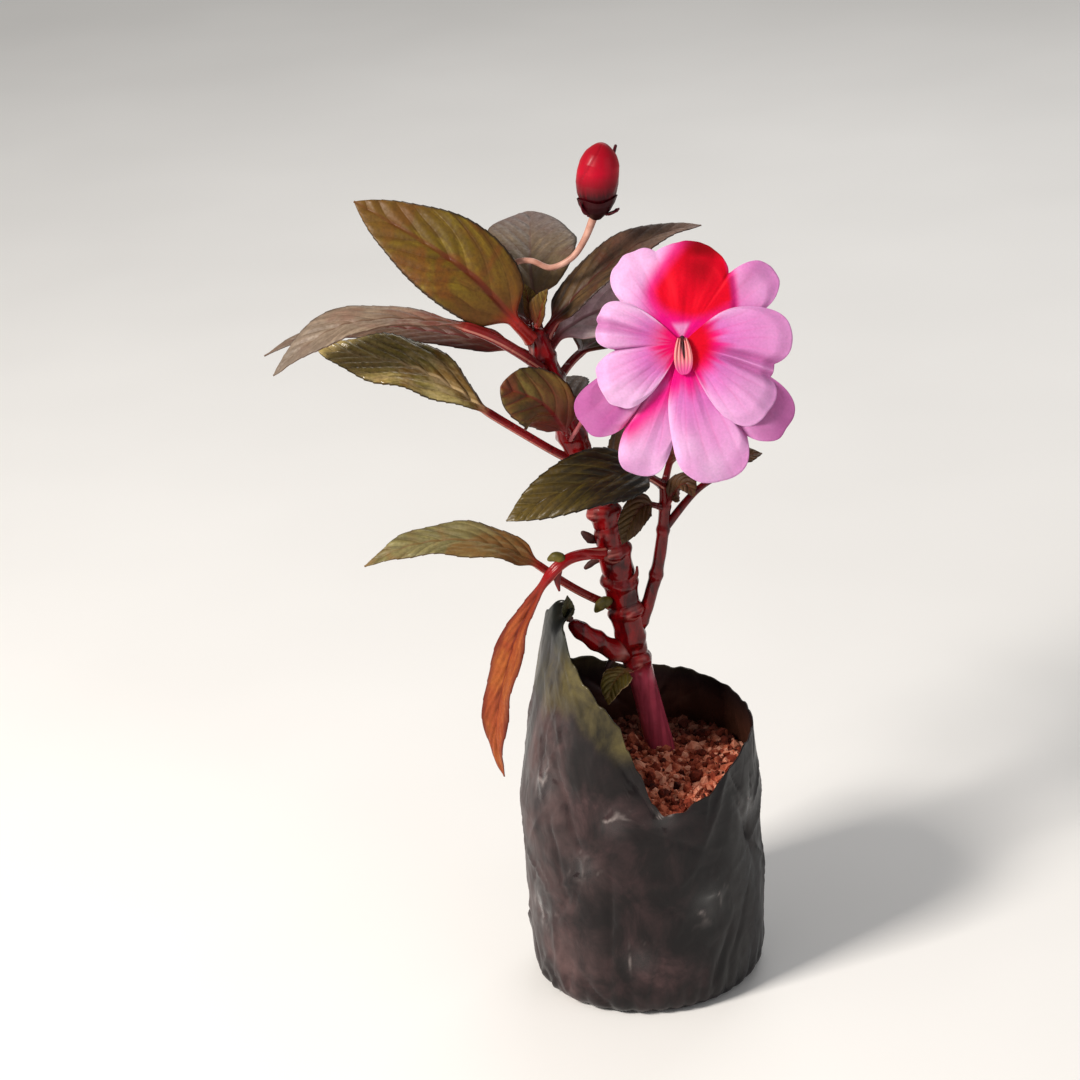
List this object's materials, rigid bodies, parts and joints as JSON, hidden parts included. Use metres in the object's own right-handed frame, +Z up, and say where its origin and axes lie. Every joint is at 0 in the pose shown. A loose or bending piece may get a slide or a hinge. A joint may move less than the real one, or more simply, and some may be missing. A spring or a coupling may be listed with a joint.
{
  "type": "potted busy lizzie",
  "caption": "Busy lizzie in a soft black nursery bag: a knobbly maroon stem with bronze lance-shaped leaves, a flat pink flower with a crimson blotch and spur, and a crimson bud.",
  "frame": {"origin": "centre of the bag's flat base, on the surface it stands on", "axes": "+Z up; the flower faces -Y; +X to the right as seen from the front; the stem leans and the film stands highest towards -X"},
  "size_m": [0.1515, 0.0903, 0.2599],
  "materials": {
    "film": "thin black polythene film, dusty, creased, satin to glossy",
    "soil": "damp red-brown laterite soil in crumbs, matte",
    "stem": "fleshy deep maroon stem with ring-like leaf nodes, waxy",
    "side_stem": "fleshy dark red stem, waxy",
    "stalk": "thin pale salmon flower stalk, waxy",
    "bronze_leaf": "bronze to purple-brown leaf with sunken veins, satin",
    "olive_leaf": "olive leaf with a bronze tinge and an orange-red midrib, satin",
    "green_leaf": "dark green leaf with tan veins, satin",
    "dying_leaf": "drying orange-brown leaf with a red midrib and edge, matte",
    "petal": "soft lilac-pink petal, magenta towards the throat, a crimson blotch on the upper one, matte velvet",
    "column": "pale pink, matte",
    "sepal": "pinkish red, satin",
    "bud": "crimson rolled petals, glossy",
    "bud_sepal": "dark maroon, glossy"
  },
  "bodies": {
    "root": {"nursery_bag": "film", "soil": "soil", "main_stem": "stem", "side_stem": "side_stem", "lower_shoot": "stem", "leaf_top_left": "olive_leaf", "leaf_top_back": "bronze_leaf", "leaf_top_right": "bronze_leaf", "leaf_right": "bronze_leaf", "leaf_long_left": "bronze_leaf", "leaf_long_left_behind": "bronze_leaf", "leaf_mid_left": "green_leaf", "leaf_small_round": "bronze_leaf", "leaf_drooping": "green_leaf", "leaf_under": "bronze_leaf", "leaf_narrow_low": "olive_leaf", "leaf_dying": "dying_leaf", "leaf_by_rim": "olive_leaf", "leaf_back_left": "bronze_leaf", "leaf_back_right": "bronze_leaf", "leaf_back_middle": "bronze_leaf", "leaf_back_low": "bronze_leaf", "side_leaf_back": "bronze_leaf", "side_leaf_right": "bronze_leaf", "twig_leaf": "bronze_leaf", "young_leaf_left": "bronze_leaf", "young_leaf_right": "bronze_leaf", "shoot_leaf": "bronze_leaf", "petal_standard": "petal", "petal_left": "petal", "petal_right": "petal", "petal_lower_left": "petal", "petal_lower_right": "petal", "column": "column", "spurred_sepal": "sepal", "sepal_left": "sepal", "sepal_right": "sepal", "flower_stalk": "stalk", "bud_petals": "bud", "bud_spurred_sepal": "bud_sepal", "bud_sepal_left": "bud_sepal", "bud_sepal_right": "bud_sepal", "bud_stalk": "stalk"}
  },
  "joints": []
}
